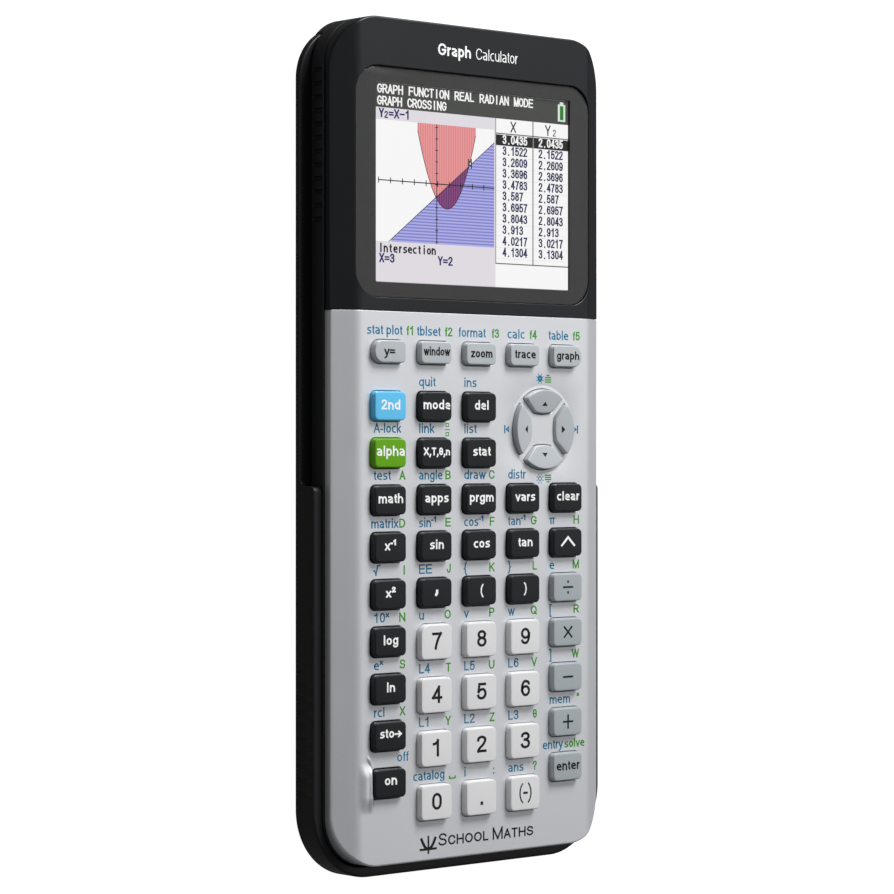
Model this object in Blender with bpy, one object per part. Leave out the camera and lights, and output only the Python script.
"""Graphing calculator lying face up on the slide case that is stored on its back.

Frame: +X is the user's right, +Y runs along the calculator towards its display, and +Z points
out of the keys. The origin is the centre of the bounding box, level with the back of the case.
Lengths below are in millimetres, and MM turns them into metres where a mesh is made.
Plan positions are measured from the centre of the calculator's own front shell, which lies
SHELL_CENTRE_Y from the origin, because the case reaches further at its closed bottom end.
"""
import math

import bmesh
import bpy
from mathutils import Vector

MM = 0.001
GAP = 0.3                       # clearance between pieces that meet
OVERSHOOT = 1.0                 # how far a cutter reaches past the surface it opens
OVERLAP = 0.3                   # how far a joined boss is rooted in its plate
SHARP_ANGLE = math.radians(30)  # edges above this angle stay sharp

# Calculator front shell, in plan and in height
SHELL_WIDTH = 80.5
SHELL_LENGTH = 184.94
SHELL_RADIUS = 11.25
FACE_Z = 17.8                   # the flat front face
SEAM_Z = 12.7                   # where the front shell meets the rear housing
SHELL_WALL = 1.6
CAVITY_SIDE_Z = 13.9            # top of the upright inner side wall
BEVEL_START = 33.4              # half width of the flat face
BEVEL_ANGLE = math.radians(27.0)
BEVEL_BLEND = 5.0               # radius that blends the face into the bevel
BEVEL_STEPS = 4
RIM_CHAMFER = 0.3
SPLIT_Y = 28.43                 # bezel above, keypad faceplate below

# Slide case
CASE_WIDTH = 86.0
CASE_BOTTOM_Y = -95.3
CASE_TOP_Y = 92.1
CASE_RADII = (11.75, 11.75, 15.5, 15.5)    # top right, top left, bottom left, bottom right
CASE_WALL = 2.4
CASE_FLOOR = 2.0
CASE_SIDE_Z = 6.5               # the wall is upright above this height
CASE_TUCK = (8.5, 6.5)          # how far the underside runs in at the sides and at the ends
CASE_INNER_TUCK = (6.5, 4.5)
HOUSING_TUCK = (7.0, 5.0)
TUCK_SLOPE = 0.7                # share of the underside's curve that is a straight slope
CASE_LOW_RIM_Z = 8.0
CASE_STEP_Y = -9.7              # the wall is high below this line and low above it
CASE_STEP_RADIUS = 1.3
CASE_CLEARANCE = 0.4
LIP_Z = (6.8, 8.0)              # inward lip that slides in the housing's side groove
LIP_HALF_WIDTH = 37.2
RIB_PITCH = 2.94
RIB_WIDTH = 0.9
CASE_RIBS_Y = (-76.2, -50.8)
CASE_RIB_DEPTH = 0.25
CASE_RIBS_Z = (7.1, 11.5)
TUCK_STEPS = 4                  # segments in the curve under the case and the housing

# Rear housing
BACK_Z = 2.3
HOUSING_WALL = 1.8
HOUSING_FLOOR = 2.2
HOUSING_STEP_Z = 10.2           # the inside widens above this height
GROOVE_Z = (6.4, 8.4)
GROOVE_HALF_WIDTH = 36.9
GRIP_RIBS_Y = (48.1, 80.4)
GRIP_DEPTH = 0.6
GRIP_RIBS_Z = (8.9, 12.1)
DOOR_SIZE = (42.4, 56.4)
DOOR_Y = 12.0
DOOR_RADIUS = 1.7
DOOR_THICKNESS = 1.2
DOOR_LEDGE = 2.0
USB_Y = 38.0
USB_SIZE = (8.0, 8.0, 3.6)      # depth in X, width in Y, height in Z
USB_Z = 8.6
USB_NOTCH_DEPTH = 6.0
SOCKET_WALL = 0.5
SOCKET_DEPTH = 5.0

# Display
WINDOW_SIZE = (70.1, 50.1)
WINDOW_Y = 56.55
WINDOW_RADIUS = 6.0
WINDOW_Z = (16.9, 17.6)
WINDOW_STEPS = 6
LEDGE_SIZE = (61.6, 46.6)
LEDGE_RADIUS = 1.0
LCD_GLASS = (60.4, 45.4)
LCD_GLASS_RADIUS = 0.5
LCD_FRAME = (69.2, 50.0)
LCD_FRAME_RADIUS = 0.8
LCD_Z = (12.9, 15.4, 16.6)      # frame bottom, frame top, glass top

# Inside
MAT_Z = (12.6, 13.1, 13.7)      # sheet bottom, sheet top, dome top
MAT_SIZE = (72.0, 114.0)
MAT_RADIUS = 2.0
MAT_Y = -31.5
BOARD_Z = (11.0, 12.2)
BOARD_SIZE = (73.0, 172.0)
BOARD_RADIUS = 8.0
CHIP_HEIGHT = 1.0
PACK_SIZE = (36.0, 50.0)
PACK_RADIUS = 1.5
PACK_CHAMFER = 0.5
PACK_Z = (4.9, 9.7)

# Keys
KEY_PITCH_X = 13.37
KEY_WIDTH = 9.3
KEY_HEIGHT = 6.6
DIGIT_HEIGHT = 8.0
GRAPH_HEIGHT = 5.2
KEY_RADIUS = 1.3
KEY_ROUND_RADIUS = 2.5
KEY_TOP_Z = 19.3
KEY_SHOULDER = 0.3              # height of the rounding at the top edge
KEY_DRAFT = 0.25                # how much narrower the cap is at its shoulder
KEY_CROWN = 0.55                # and at its flat top
FLANGE_Z = (15.05, 15.85)
FLANGE_WIDTH = 0.8
GRAPH_ROW_Y = 19.55
ROW_PITCH = 10.26
FIRST_ROW_Y = 7.7
DIGIT_PITCH = 11.77
FIRST_DIGIT_Y = -44.15
ARROW_CENTRE = (19.95, 2.8)
ARROW_OUTER = 9.2
ARROW_INNER = 3.75
ARROW_SLOT = 1.5
ARROW_FLANGE = 0.5
ARROW_STEPS = 6                 # segments in a wedge's outer arc
DOME_RADIUS = 1.9
DOME_TOP_RADIUS = 1.33
DOME_FOOT = 0.1                 # upright part below the dome's slope
DOME_SIDES = 6

# Raised guard beside the on key
GUARD_SIZE = (3.7, 6.4)
GUARD_TOP_Z = 19.1
GUARD_RAMP = 1.4
GUARD_FOOT_RADIUS = 1.6
GUARD_TOP_RADIUS = 1.2
GUARD_TAPER = 0.8               # how much narrower the guard is at its top
GUARD_ROOT_Z = 16.6
GUARD_FOOT_Z = 17.6

CORNER_STEPS = 2                # segments in a small corner
SHELL_STEPS = 8                 # segments in a large corner
CAVITY_STEPS = 4                # segments in a corner inside the shells

# The bounding box is centred on the origin; the case is longer at its bottom end
SHELL_CENTRE_Y = -(CASE_BOTTOM_Y + SHELL_LENGTH / 2) / 2

COLOURS = {
    "case_black": ((0.012, 0.012, 0.015), 0.45, 0.0),
    "bezel_black": ((0.020, 0.021, 0.024), 0.35, 0.0),
    "silver_plastic": ((0.62, 0.63, 0.66), 0.38, 0.35),
    "housing_black": ((0.014, 0.014, 0.016), 0.5, 0.0),
    "window_clear": ((0.05, 0.05, 0.05), 0.08, 0.0),
    "key_charcoal": ((0.020, 0.024, 0.030), 0.4, 0.0),
    "key_white": ((0.74, 0.74, 0.75), 0.4, 0.0),
    "key_light_grey": ((0.42, 0.45, 0.47), 0.4, 0.0),
    "key_mid_grey": ((0.32, 0.36, 0.38), 0.4, 0.0),
    "key_blue": ((0.11, 0.53, 0.87), 0.4, 0.0),
    "key_green": ((0.13, 0.38, 0.01), 0.4, 0.0),
    "lcd_metal": ((0.55, 0.55, 0.56), 0.3, 0.9),
    "mat_rubber": ((0.50, 0.51, 0.52), 0.8, 0.0),
    "board_green": ((0.02, 0.15, 0.06), 0.5, 0.0),
    "battery_wrap": ((0.10, 0.12, 0.16), 0.4, 0.1),
}

# Chips under the board: x, y, width, length
CHIPS = [
    (-18.0, 66.0, 12.0, 12.0),
    (4.0, 66.0, 9.0, 14.0),
    (22.0, 68.0, 6.0, 6.0),
    (-20.0, -50.0, 7.0, 5.0),
    (16.0, -46.0, 10.0, 4.0),
]

# Key columns from left to right are -2 to 2; rows are counted from the row under the display.
# Each entry: name, column, row, colour.
KEYS = [
    ("key_y_equals", -2, 0, "key_light_grey"),
    ("key_window", -1, 0, "key_light_grey"),
    ("key_zoom", 0, 0, "key_light_grey"),
    ("key_trace", 1, 0, "key_light_grey"),
    ("key_graph", 2, 0, "key_light_grey"),
    ("key_second", -2, 1, "key_blue"),
    ("key_mode", -1, 1, "key_charcoal"),
    ("key_delete", 0, 1, "key_charcoal"),
    ("key_alpha", -2, 2, "key_green"),
    ("key_variable", -1, 2, "key_charcoal"),
    ("key_stat", 0, 2, "key_charcoal"),
    ("key_math", -2, 3, "key_charcoal"),
    ("key_apps", -1, 3, "key_charcoal"),
    ("key_program", 0, 3, "key_charcoal"),
    ("key_vars", 1, 3, "key_charcoal"),
    ("key_clear", 2, 3, "key_charcoal"),
    ("key_reciprocal", -2, 4, "key_charcoal"),
    ("key_sin", -1, 4, "key_charcoal"),
    ("key_cos", 0, 4, "key_charcoal"),
    ("key_tan", 1, 4, "key_charcoal"),
    ("key_power", 2, 4, "key_charcoal"),
    ("key_square", -2, 5, "key_charcoal"),
    ("key_comma", -1, 5, "key_charcoal"),
    ("key_open_bracket", 0, 5, "key_charcoal"),
    ("key_close_bracket", 1, 5, "key_charcoal"),
    ("key_divide", 2, 5, "key_mid_grey"),
    ("key_log", -2, 6, "key_charcoal"),
    ("key_multiply", 2, 6, "key_mid_grey"),
    ("key_ln", -2, 7, "key_charcoal"),
    ("key_subtract", 2, 7, "key_mid_grey"),
    ("key_store", -2, 8, "key_charcoal"),
    ("key_add", 2, 8, "key_mid_grey"),
    ("key_on", -2, 9, "key_charcoal"),
    ("key_enter", 2, 9, "key_mid_grey"),
]

# The taller block of white keys: name, column, row in the block
DIGIT_KEYS = [
    ("key_7", -1, 0),
    ("key_8", 0, 0),
    ("key_9", 1, 0),
    ("key_4", -1, 1),
    ("key_5", 0, 1),
    ("key_6", 1, 1),
    ("key_1", -1, 2),
    ("key_2", 0, 2),
    ("key_3", 1, 2),
    ("key_0", -1, 3),
    ("key_point", 0, 3),
    ("key_negative", 1, 3),
]

ARROW_KEYS = [("key_right", 0), ("key_up", 90), ("key_left", 180), ("key_down", 270)]

# Keys with larger rounding on the corners at the ends of their block.
# Corner order: top right, top left, bottom left, bottom right.
LARGE_CORNERS = {
    "key_y_equals": (1, 2),
    "key_graph": (0, 3),
    "key_7": (1,),
}


# ---------------------------------------------------------------- outlines

def rounded_rectangle(size, radii, steps=CORNER_STEPS):
    """Anticlockwise outline centred on zero, one radius per corner or one for all."""
    if not isinstance(radii, (list, tuple)):
        radii = (radii,) * 4
    half_x = size[0] / 2
    half_y = size[1] / 2
    signs = ((1, 1), (-1, 1), (-1, -1), (1, -1))
    points = []
    for corner, (sign_x, sign_y) in enumerate(signs):
        radius = radii[corner]
        centre = Vector((sign_x * (half_x - radius), sign_y * (half_y - radius)))
        for step in range(steps + 1):
            angle = math.pi / 2 * (corner + step / steps)
            points.append(centre + radius * Vector((math.cos(angle), math.sin(angle))))
    return points


def inset(outline, distance):
    """Outline moved inwards by a distance, or outwards where it is negative."""
    count = len(outline)
    result = []
    for index, point in enumerate(outline):
        before = (point - outline[index - 1]).normalized()
        after = (outline[(index + 1) % count] - point).normalized()
        normal_before = Vector((-before.y, before.x))
        normal_after = Vector((-after.y, after.x))
        spread = 1 + normal_before.dot(normal_after)
        result.append(point + (normal_before + normal_after) * (distance / spread))
    return result


def clipped(outline, half_width):
    """Outline whose sides are cut off square at a half width."""
    return [Vector((min(max(p.x, -half_width), half_width), p.y)) for p in outline]


def moved(outline, x, y):
    """Outline shifted in plan."""
    return [point + Vector((x, y)) for point in outline]


def arc(centre, radius, start, end, steps=3):
    """Points along an arc between two angles in degrees."""
    points = []
    for step in range(steps + 1):
        angle = math.radians(start + (end - start) * step / steps)
        points.append((centre[0] + radius * math.cos(angle), centre[1] + radius * math.sin(angle)))
    return points


def wedge_outline(angle):
    """Quarter of the arrow ring, pointing along the given angle in degrees."""
    slot = ARROW_SLOT / math.sqrt(2)
    inner_half = ARROW_INNER - slot
    reach = (slot + math.sqrt(2 * ARROW_OUTER ** 2 - slot ** 2)) / 2
    end_angle = math.atan2(reach - slot, reach)
    outer = []
    for step in range(ARROW_STEPS + 1):
        turn = -end_angle + 2 * end_angle * step / ARROW_STEPS
        outer.append(ARROW_OUTER * Vector((math.cos(turn), math.sin(turn))))
    inner = [Vector((ARROW_INNER, inner_half)), Vector((ARROW_INNER, -inner_half))]
    turn = math.radians(angle)
    return [Vector((p.x * math.cos(turn) - p.y * math.sin(turn),
                    p.x * math.sin(turn) + p.y * math.cos(turn))) for p in outer + inner]


# ---------------------------------------------------------------- mesh helpers

def add_stack(mesh, loops):
    """Closed body through a stack of (outline, height) loops with equal point counts."""
    rings = []
    for outline, height in loops:
        rings.append([mesh.verts.new((p.x * MM, p.y * MM, height * MM)) for p in outline])
    count = len(rings[0])
    for lower, upper in zip(rings, rings[1:]):
        for index in range(count):
            after = (index + 1) % count
            mesh.faces.new((lower[index], lower[after], upper[after], upper[index]))
    mesh.faces.new(list(reversed(rings[0])))
    mesh.faces.new(rings[-1])


def add_prism_along_y(mesh, profile, start, end):
    """Closed body with an (x, z) profile, anticlockwise seen from -Y, swept along Y."""
    front = [mesh.verts.new((x * MM, start * MM, z * MM)) for x, z in profile]
    back = [mesh.verts.new((x * MM, end * MM, z * MM)) for x, z in profile]
    count = len(profile)
    for index in range(count):
        after = (index + 1) % count
        mesh.faces.new((front[index], back[index], back[after], front[after]))
    mesh.faces.new(front)
    mesh.faces.new(list(reversed(back)))


def add_box(mesh, low, high):
    """Axis-aligned closed box between two corners."""
    size = (high[0] - low[0], high[1] - low[1])
    middle = ((high[0] + low[0]) / 2, (high[1] + low[1]) / 2)
    outline = [Vector((middle[0] + sx * size[0] / 2, middle[1] + sy * size[1] / 2))
               for sx, sy in ((1, 1), (-1, 1), (-1, -1), (1, -1))]
    add_stack(mesh, [(outline, low[2]), (outline, high[2])])


def make_object(name, build, origin=(0.0, 0.0, 0.0)):
    """Object at an origin in shell coordinates; build(mesh) adds bodies around that origin."""
    mesh = bmesh.new()
    build(mesh)
    bmesh.ops.recalc_face_normals(mesh, faces=mesh.faces)
    data = bpy.data.meshes.new(name)
    mesh.to_mesh(data)
    mesh.free()
    result = bpy.data.objects.new(name, data)
    result.location = (origin[0] * MM, (origin[1] + SHELL_CENTRE_Y) * MM, origin[2] * MM)
    bpy.context.scene.collection.objects.link(result)
    return result


def combine(target, operation, name, build):
    """Boolean of a hidden cutter or filler with the target; build(mesh) makes the other body."""
    other = make_object(name, build, local_origin(target))
    other.hide_render = True
    other.display_type = "WIRE"
    modifier = target.modifiers.new(name, "BOOLEAN")
    modifier.operation = operation
    modifier.solver = "EXACT"
    modifier.object = other


def local_origin(item):
    """An object's origin in shell coordinates, in millimetres."""
    place = item.location / MM
    return (place.x, place.y - SHELL_CENTRE_Y, place.z)


def paint(item, colour_name):
    """Own Principled material for one piece."""
    colour, roughness, metallic = COLOURS[colour_name]
    material = bpy.data.materials.new(item.name + "_" + colour_name)
    material.use_nodes = True
    shader = material.node_tree.nodes["Principled BSDF"]
    shader.inputs["Base Color"].default_value = (*colour, 1.0)
    shader.inputs["Roughness"].default_value = roughness
    shader.inputs["Metallic"].default_value = metallic
    material.diffuse_color = (*colour, 1.0)
    item.data.materials.append(material)
    item.data.shade_smooth()
    item.data.set_sharp_from_angle(angle=SHARP_ANGLE)


# ---------------------------------------------------------------- front shells

def face_profile(drop, half_width):
    """Points (x, z) from left to right along the front, lowered by drop along its normal."""
    turn = BEVEL_ANGLE
    radius = BEVEL_BLEND - drop
    points = []
    for step in range(BEVEL_STEPS + 1):
        angle = turn * step / BEVEL_STEPS
        points.append((BEVEL_START + radius * math.sin(angle),
                       FACE_Z - BEVEL_BLEND + radius * math.cos(angle)))
    last_x, last_z = points[-1]
    points.append((half_width, last_z - (half_width - last_x) * math.tan(turn)))
    return [(-x, z) for x, z in reversed(points)] + points


def add_front_block(mesh, low_y, high_y):
    """Upright block with the shell's rounded plan, cut square where it isn't an end."""
    outline = rounded_rectangle((SHELL_WIDTH, SHELL_LENGTH), SHELL_RADIUS, SHELL_STEPS)
    cut = [Vector((p.x, min(max(p.y, low_y), high_y))) for p in outline]
    points = []
    for point in cut:
        if not points or (point - points[-1]).length > GAP / 10:
            points.append(point)
    if (points[0] - points[-1]).length < GAP / 10:
        points.pop()
    add_stack(mesh, [(points, SEAM_Z + GAP / 2), (points, FACE_Z + OVERSHOOT)])


def add_face_envelope(mesh):
    """Everything below the bevelled front face and its chamfered rim."""
    half = SHELL_WIDTH / 2
    top = face_profile(0.0, half - RIM_CHAMFER)
    rim_z = top[-1][1] - RIM_CHAMFER
    reach = 5
    outer = half + reach
    low = SEAM_Z - reach
    skirt_z = rim_z - reach - GAP
    outline = [(-outer, low), (outer, low), (outer, skirt_z), (half, rim_z)]
    outline += list(reversed(top)) + [(-half, rim_z), (-outer, skirt_z)]
    add_prism_along_y(mesh, outline, -SHELL_LENGTH, SHELL_LENGTH)


def add_shell_cavity(mesh, low_y, high_y):
    """Space under the front face, open downwards and narrower under the bevels."""
    wide = SHELL_WIDTH - 2 * HOUSING_WALL
    narrow = 2 * (BEVEL_START - GAP)
    radius = SHELL_RADIUS - HOUSING_WALL
    middle_y = (low_y + high_y) / 2
    loops = []
    levels = ((wide, SEAM_Z - OVERSHOOT), (wide, CAVITY_SIDE_Z), (narrow, FACE_Z - SHELL_WALL))
    for width, height in levels:
        outline = rounded_rectangle((width, high_y - low_y), radius, CAVITY_STEPS)
        loops.append((moved(outline, 0, middle_y), height))
    add_stack(mesh, loops)


def front_shell(name, low_y, high_y, cavity_y):
    """One of the two front shells, hollowed from below."""
    shell = make_object(name, lambda mesh: add_front_block(mesh, low_y, high_y))
    combine(shell, "INTERSECT", name + "_envelope", add_face_envelope)
    combine(shell, "DIFFERENCE", name + "_cavity",
            lambda mesh: add_shell_cavity(mesh, *cavity_y))
    return shell


def make_display_bezel():
    """Black upper shell with a stepped opening for the display window."""
    end = SHELL_LENGTH / 2
    bezel = front_shell("display_bezel", SPLIT_Y + GAP / 2, end,
                        (SPLIT_Y - 2 * SHELL_RADIUS, end - HOUSING_WALL))
    ledge_top = WINDOW_Z[0] - GAP

    def openings(mesh):
        recess = rounded_rectangle((WINDOW_SIZE[0] + 2 * GAP, WINDOW_SIZE[1] + 2 * GAP),
                                   WINDOW_RADIUS + GAP, WINDOW_STEPS)
        through = rounded_rectangle(LEDGE_SIZE, LEDGE_RADIUS, WINDOW_STEPS)
        add_stack(mesh, [(moved(through, 0, WINDOW_Y), FACE_Z - SHELL_WALL - OVERSHOOT),
                         (moved(through, 0, WINDOW_Y), ledge_top),
                         (moved(recess, 0, WINDOW_Y), ledge_top),
                         (moved(recess, 0, WINDOW_Y), FACE_Z + OVERSHOOT)])

    combine(bezel, "DIFFERENCE", "window_opening", openings)
    paint(bezel, "bezel_black")


def make_keypad_faceplate():
    """Silver lower shell with one opening for each key and the guard beside the on key."""
    end = SHELL_LENGTH / 2
    plate = front_shell("keypad_faceplate", -end, SPLIT_Y - GAP / 2,
                        (-end + HOUSING_WALL, SPLIT_Y + 2 * SHELL_RADIUS))
    combine(plate, "UNION", "on_key_guard", add_guard)
    combine(plate, "DIFFERENCE", "key_openings", add_key_openings)
    paint(plate, "silver_plastic")


def add_guard(mesh):
    """Ramped rib that keeps the on key from being pressed by accident."""
    on_x, on_y = key_place(-2, 9)
    right = on_x - KEY_WIDTH / 2 + KEY_RADIUS
    middle_x = right - GUARD_SIZE[0] / 2 - KEY_RADIUS / 2
    width = GUARD_SIZE[0] + KEY_RADIUS
    foot = moved(rounded_rectangle((width, GUARD_SIZE[1] + 2 * GUARD_RAMP), GUARD_FOOT_RADIUS),
                 middle_x, on_y)
    top = moved(rounded_rectangle((width - GUARD_TAPER, GUARD_SIZE[1]), GUARD_TOP_RADIUS),
                middle_x, on_y)
    add_stack(mesh, [(foot, GUARD_ROOT_Z), (foot, GUARD_FOOT_Z), (top, GUARD_TOP_Z)])


# ---------------------------------------------------------------- keys

def key_place(column, row):
    """Centre of a key in the main grid."""
    if row == 0:
        return column * KEY_PITCH_X, GRAPH_ROW_Y
    return column * KEY_PITCH_X, FIRST_ROW_Y - (row - 1) * ROW_PITCH


def digit_place(column, row):
    """Centre of a key in the taller white block."""
    return column * KEY_PITCH_X, FIRST_DIGIT_Y - row * DIGIT_PITCH


def key_outline(name, height):
    """Base outline of a rectangular key around its own centre."""
    radii = [KEY_RADIUS] * 4
    for corner in LARGE_CORNERS.get(name, ()):
        radii[corner] = min(KEY_ROUND_RADIUS, height / 2 - GAP / 2)
    return rounded_rectangle((KEY_WIDTH, height), radii)


def all_keys():
    """Name, centre, base outline, colour and flange width of each of the fifty keys."""
    result = []
    for name, column, row, colour in KEYS:
        height = GRAPH_HEIGHT if row == 0 else KEY_HEIGHT
        outline = key_outline(name, height)
        result.append((name, key_place(column, row), outline, colour, FLANGE_WIDTH))
    for name, column, row in DIGIT_KEYS:
        outline = key_outline(name, DIGIT_HEIGHT)
        result.append((name, digit_place(column, row), outline, "key_white", FLANGE_WIDTH))
    for name, angle in ARROW_KEYS:
        outline = wedge_outline(angle)
        result.append((name, ARROW_CENTRE, outline, "key_light_grey", ARROW_FLANGE))
    return result


def add_key_openings(mesh):
    """One upright cutter for each key, a little larger than the key's base."""
    for _, (x, y), outline, _, _ in all_keys():
        hole = moved(inset(outline, -GAP), x, y)
        add_stack(mesh, [(hole, FLANGE_Z[1]), (hole, KEY_TOP_Z + OVERSHOOT)])


def make_keys():
    """Key caps: a flange held under the faceplate, a stem in the opening and a crowned top."""
    for name, (x, y), outline, colour, flange_width in all_keys():
        flange = inset(outline, -flange_width)
        loops = [(flange, FLANGE_Z[0] - FACE_Z),
                 (flange, FLANGE_Z[1] - FACE_Z),
                 (outline, FLANGE_Z[1] - FACE_Z),
                 (inset(outline, KEY_DRAFT), KEY_TOP_Z - KEY_SHOULDER - FACE_Z),
                 (inset(outline, KEY_CROWN), KEY_TOP_Z - FACE_Z)]
        key = make_object(name, lambda mesh, loops=loops: add_stack(mesh, loops),
                          (x, y, FACE_Z))
        paint(key, colour)


# ---------------------------------------------------------------- rear housing and case

def tucked_loops(size, centre_y, radii, heights, tuck, steps=SHELL_STEPS):
    """Loops of a tray whose underside runs in by tuck, between a slope and a quarter ellipse."""
    low, high = heights
    loops = []
    for step in range(TUCK_STEPS + 1):
        angle = math.pi / 2 * step / TUCK_STEPS
        share = (1 - TUCK_SLOPE) * (1 - math.sin(angle)) + TUCK_SLOPE * math.cos(angle)
        shrink_x = tuck[0] * share
        shrink_y = tuck[1] * share
        height = low + (high - low) * (1 - math.cos(angle))
        corners = [radius - min(shrink_x, shrink_y) for radius in radii]
        outline = rounded_rectangle((size[0] - 2 * shrink_x, size[1] - 2 * shrink_y),
                                    corners, steps)
        loops.append((moved(outline, 0, centre_y), height))
    return loops


def rib_places(span):
    """Evenly pitched rib positions that fill a span."""
    count = round((span[1] - span[0]) / RIB_PITCH) + 1
    return [span[0] + index * RIB_PITCH for index in range(count)]


def add_side_grooves(mesh, half_width, depth, span, heights):
    """Upright grooves cut into both sides, one for each rib position."""
    for side in (-1, 1):
        for y in rib_places(span):
            x_values = sorted((side * (half_width - depth), side * (half_width + OVERSHOOT)))
            add_box(mesh, (x_values[0], y - RIB_WIDTH / 2, heights[0]),
                    (x_values[1], y + RIB_WIDTH / 2, heights[1]))


def make_rear_housing():
    """Black tray that closes the back, with a groove along each side for the case's lips."""
    top = SEAM_Z - GAP / 2
    half = SHELL_WIDTH / 2

    def body(mesh):
        loops = tucked_loops((SHELL_WIDTH, SHELL_LENGTH), 0, (SHELL_RADIUS,) * 4,
                             (BACK_Z, GROOVE_Z[0]), HOUSING_TUCK)
        outline = loops[-1][0]
        waist = clipped(outline, GROOVE_HALF_WIDTH)
        loops += [(waist, GROOVE_Z[0]), (waist, GROOVE_Z[1]), (outline, GROOVE_Z[1]),
                  (outline, top)]
        add_stack(mesh, loops)

    def hollow(mesh):
        inner = (SHELL_WIDTH - 2 * HOUSING_WALL, SHELL_LENGTH - 2 * HOUSING_WALL)
        outline = rounded_rectangle(inner, SHELL_RADIUS - HOUSING_WALL, CAVITY_STEPS)
        waist = clipped(outline, GROOVE_HALF_WIDTH - HOUSING_WALL)
        floor_z = BACK_Z + HOUSING_FLOOR
        add_stack(mesh, [(inset(waist, HOUSING_WALL), floor_z), (waist, floor_z + HOUSING_WALL),
                         (waist, HOUSING_STEP_Z), (outline, HOUSING_STEP_Z),
                         (outline, top + OVERSHOOT)])

    def battery_opening(mesh):
        recess = (DOOR_SIZE[0] + 2 * GAP, DOOR_SIZE[1] + 2 * GAP)
        through = (DOOR_SIZE[0] - 2 * DOOR_LEDGE, DOOR_SIZE[1] - 2 * DOOR_LEDGE)
        step_z = BACK_Z + DOOR_THICKNESS + GAP
        outer = moved(rounded_rectangle(recess, DOOR_RADIUS + GAP), 0, DOOR_Y)
        inner = moved(rounded_rectangle(through, DOOR_RADIUS + GAP), 0, DOOR_Y)
        add_stack(mesh, [(outer, BACK_Z - OVERSHOOT), (outer, step_z),
                         (inner, step_z), (inner, BACK_Z + HOUSING_FLOOR + OVERSHOOT)])

    def socket_notch(mesh):
        side = USB_SIZE[1] / 2 + GAP
        add_box(mesh, (half - USB_NOTCH_DEPTH, USB_Y - side, USB_Z - GAP),
                (half + OVERSHOOT, USB_Y + side, top + OVERSHOOT))

    housing = make_object("rear_housing", body)
    combine(housing, "DIFFERENCE", "housing_hollow", hollow)
    combine(housing, "DIFFERENCE", "battery_opening", battery_opening)
    combine(housing, "DIFFERENCE", "socket_notch", socket_notch)
    combine(housing, "DIFFERENCE", "grip_grooves", lambda mesh: add_side_grooves(
        mesh, half, GRIP_DEPTH, GRIP_RIBS_Y, GRIP_RIBS_Z))
    paint(housing, "housing_black")


def make_battery_door():
    """Screwed cover over the battery, flush with the back."""
    outline = rounded_rectangle(DOOR_SIZE, DOOR_RADIUS)
    door = make_object("battery_door", lambda mesh: add_stack(
        mesh, [(outline, BACK_Z), (outline, BACK_Z + DOOR_THICKNESS)]), (0, DOOR_Y, 0))
    paint(door, "housing_black")


def make_slide_case():
    """Case hollowed along its length, with side lips, a closed bottom end and a stepped rim."""
    def body(mesh):
        size = (CASE_WIDTH, CASE_TOP_Y - CASE_BOTTOM_Y)
        centre_y = (CASE_TOP_Y + CASE_BOTTOM_Y) / 2
        loops = tucked_loops(size, centre_y, CASE_RADII, (0, CASE_SIDE_Z),
                             CASE_TUCK)
        add_stack(mesh, loops + [(loops[-1][0], SEAM_Z)])

    def hollow(mesh):
        bottom = -SHELL_LENGTH / 2 - CASE_CLEARANCE
        reach = CASE_TOP_Y + 2 * SHELL_RADIUS
        size = (CASE_WIDTH - 2 * CASE_WALL, reach - bottom)
        loops = tucked_loops(size, (reach + bottom) / 2, (SHELL_RADIUS + CASE_CLEARANCE,) * 4,
                             (CASE_FLOOR, CASE_SIDE_Z), CASE_INNER_TUCK)
        outline = loops[-1][0]
        lip = clipped(outline, LIP_HALF_WIDTH)
        loops += [(outline, LIP_Z[0]), (lip, LIP_Z[0]), (lip, LIP_Z[1]), (outline, LIP_Z[1]),
                  (outline, SEAM_Z + OVERSHOOT)]
        add_stack(mesh, loops)

    def low_rim(mesh):
        far = CASE_TOP_Y + 2 * SHELL_RADIUS
        radius = CASE_STEP_RADIUS
        above = SEAM_Z + OVERSHOOT
        step = [(far, above), (CASE_STEP_Y - radius, above)]
        step += arc((CASE_STEP_Y - radius, SEAM_Z - radius), radius, 90, 0)
        step += arc((CASE_STEP_Y + radius, CASE_LOW_RIM_Z + radius), radius, 180, 270)
        step.append((far, CASE_LOW_RIM_Z))
        left = [mesh.verts.new((-CASE_WIDTH * MM, y * MM, z * MM)) for y, z in step]
        right = [mesh.verts.new((CASE_WIDTH * MM, y * MM, z * MM)) for y, z in step]
        for index in range(len(step)):
            after = (index + 1) % len(step)
            mesh.faces.new((left[index], left[after], right[after], right[index]))
        mesh.faces.new(list(reversed(left)))
        mesh.faces.new(right)

    case = make_object("slide_case", body)
    combine(case, "DIFFERENCE", "case_hollow", hollow)
    combine(case, "DIFFERENCE", "case_low_rim", low_rim)
    combine(case, "DIFFERENCE", "case_ribs", lambda mesh: add_side_grooves(
        mesh, CASE_WIDTH / 2, CASE_RIB_DEPTH, CASE_RIBS_Y, CASE_RIBS_Z))
    paint(case, "case_black")


# ---------------------------------------------------------------- display and inside

def make_display_window():
    """Clear plate that sits in the bezel over the display."""
    outline = rounded_rectangle(WINDOW_SIZE, WINDOW_RADIUS, WINDOW_STEPS)
    window = make_object("display_window", lambda mesh: add_stack(
        mesh, [(outline, WINDOW_Z[0]), (outline, WINDOW_Z[1])]), (0, WINDOW_Y, 0))
    paint(window, "window_clear")


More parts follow.
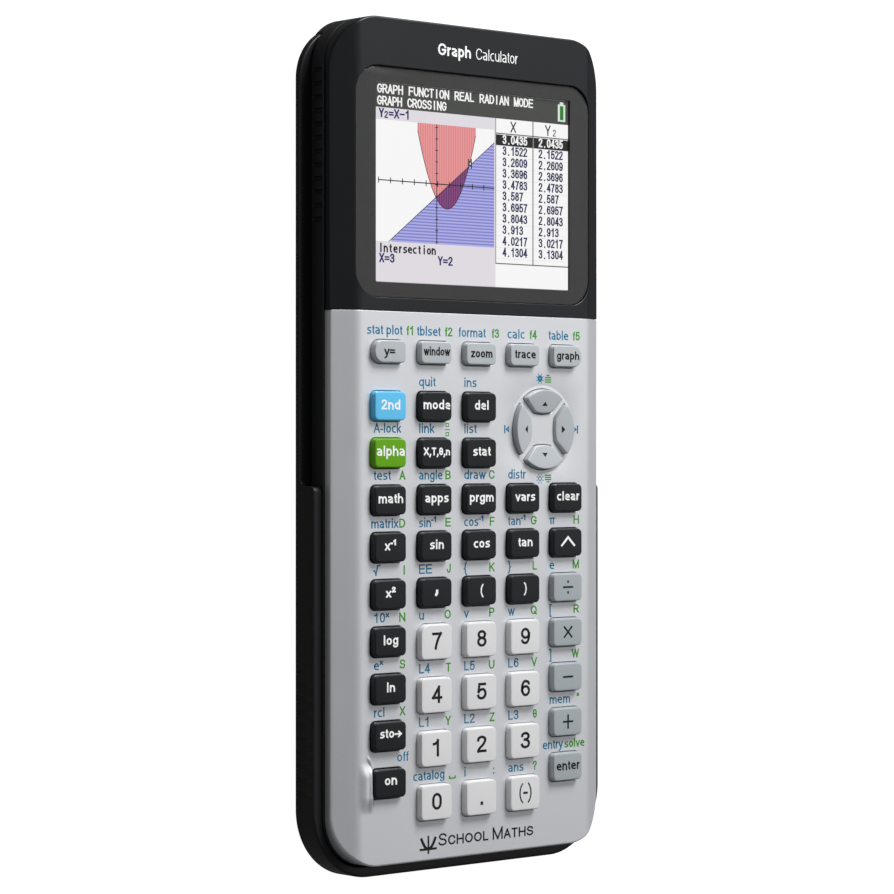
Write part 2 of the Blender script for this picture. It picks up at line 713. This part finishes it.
def make_lcd_module():
    """Metal display frame with its glass standing up through the bezel's ledge."""
    frame = rounded_rectangle(LCD_FRAME, LCD_FRAME_RADIUS)
    glass = rounded_rectangle(LCD_GLASS, LCD_GLASS_RADIUS)
    lcd = make_object("lcd_module", lambda mesh: add_stack(
        mesh, [(frame, LCD_Z[0]), (frame, LCD_Z[1]), (glass, LCD_Z[1]), (glass, LCD_Z[2])]),
        (0, WINDOW_Y, 0))
    paint(lcd, "lcd_metal")


def make_key_mat():
    """Rubber sheet with a dome under each key."""
    sheet = moved(rounded_rectangle(MAT_SIZE, MAT_RADIUS), 0, MAT_Y)
    mat = make_object("key_mat", lambda mesh: add_stack(
        mesh, [(sheet, MAT_Z[0]), (sheet, MAT_Z[1])]))

    def domes(mesh):
        for _, (x, y), outline, _, _ in all_keys():
            middle = sum(outline, Vector((0, 0))) / len(outline)
            turns = [math.tau * side / DOME_SIDES for side in range(DOME_SIDES)]
            ring = [Vector((math.cos(turn), math.sin(turn))) for turn in turns]
            foot = moved([DOME_RADIUS * p for p in ring], x + middle.x, y + middle.y)
            crown = moved([DOME_TOP_RADIUS * p for p in ring], x + middle.x, y + middle.y)
            add_stack(mesh, [(foot, MAT_Z[1] - OVERLAP), (foot, MAT_Z[1] + DOME_FOOT),
                             (crown, MAT_Z[2])])

    combine(mat, "UNION", "mat_domes", domes)
    paint(mat, "mat_rubber")


def make_main_board():
    """Circuit board with its chips, battery connector and USB socket on the underside."""
    outline = rounded_rectangle(BOARD_SIZE, BOARD_RADIUS, CAVITY_STEPS)
    board = make_object("main_board", lambda mesh: add_stack(
        mesh, [(outline, BOARD_Z[0]), (outline, BOARD_Z[1])]))

    def parts(mesh):
        for x, y, width, length in CHIPS:
            add_box(mesh, (x - width / 2, y - length / 2, BOARD_Z[0] - CHIP_HEIGHT),
                    (x + width / 2, y + length / 2, BOARD_Z[0] + OVERLAP))
        right = SHELL_WIDTH / 2 - GAP
        add_box(mesh, (right - USB_SIZE[0], USB_Y - USB_SIZE[1] / 2, USB_Z),
                (right, USB_Y + USB_SIZE[1] / 2, USB_Z + USB_SIZE[2]))

    def socket_mouth(mesh):
        right = SHELL_WIDTH / 2
        side = USB_SIZE[1] / 2 - SOCKET_WALL
        add_box(mesh, (right - SOCKET_DEPTH, USB_Y - side, USB_Z + SOCKET_WALL),
                (right + OVERSHOOT, USB_Y + side, USB_Z + USB_SIZE[2] - SOCKET_WALL))

    combine(board, "UNION", "board_parts", parts)
    combine(board, "DIFFERENCE", "socket_mouth", socket_mouth)
    paint(board, "board_green")


def make_battery_pack():
    """Flat rechargeable pack above the battery door."""
    outline = rounded_rectangle(PACK_SIZE, PACK_RADIUS)
    end = inset(outline, PACK_CHAMFER)
    low, high = PACK_Z
    pack = make_object("battery_pack", lambda mesh: add_stack(
        mesh, [(end, low), (outline, low + PACK_CHAMFER), (outline, high - PACK_CHAMFER),
               (end, high)]), (0, DOOR_Y, 0))
    paint(pack, "battery_wrap")


def main():
    """Clear the scene and build every piece."""
    for item in list(bpy.data.objects):
        bpy.data.objects.remove(item, do_unlink=True)
    make_slide_case()
    make_rear_housing()
    make_battery_door()
    make_display_bezel()
    make_keypad_faceplate()
    make_display_window()
    make_lcd_module()
    make_key_mat()
    make_main_board()
    make_battery_pack()
    make_keys()


main()
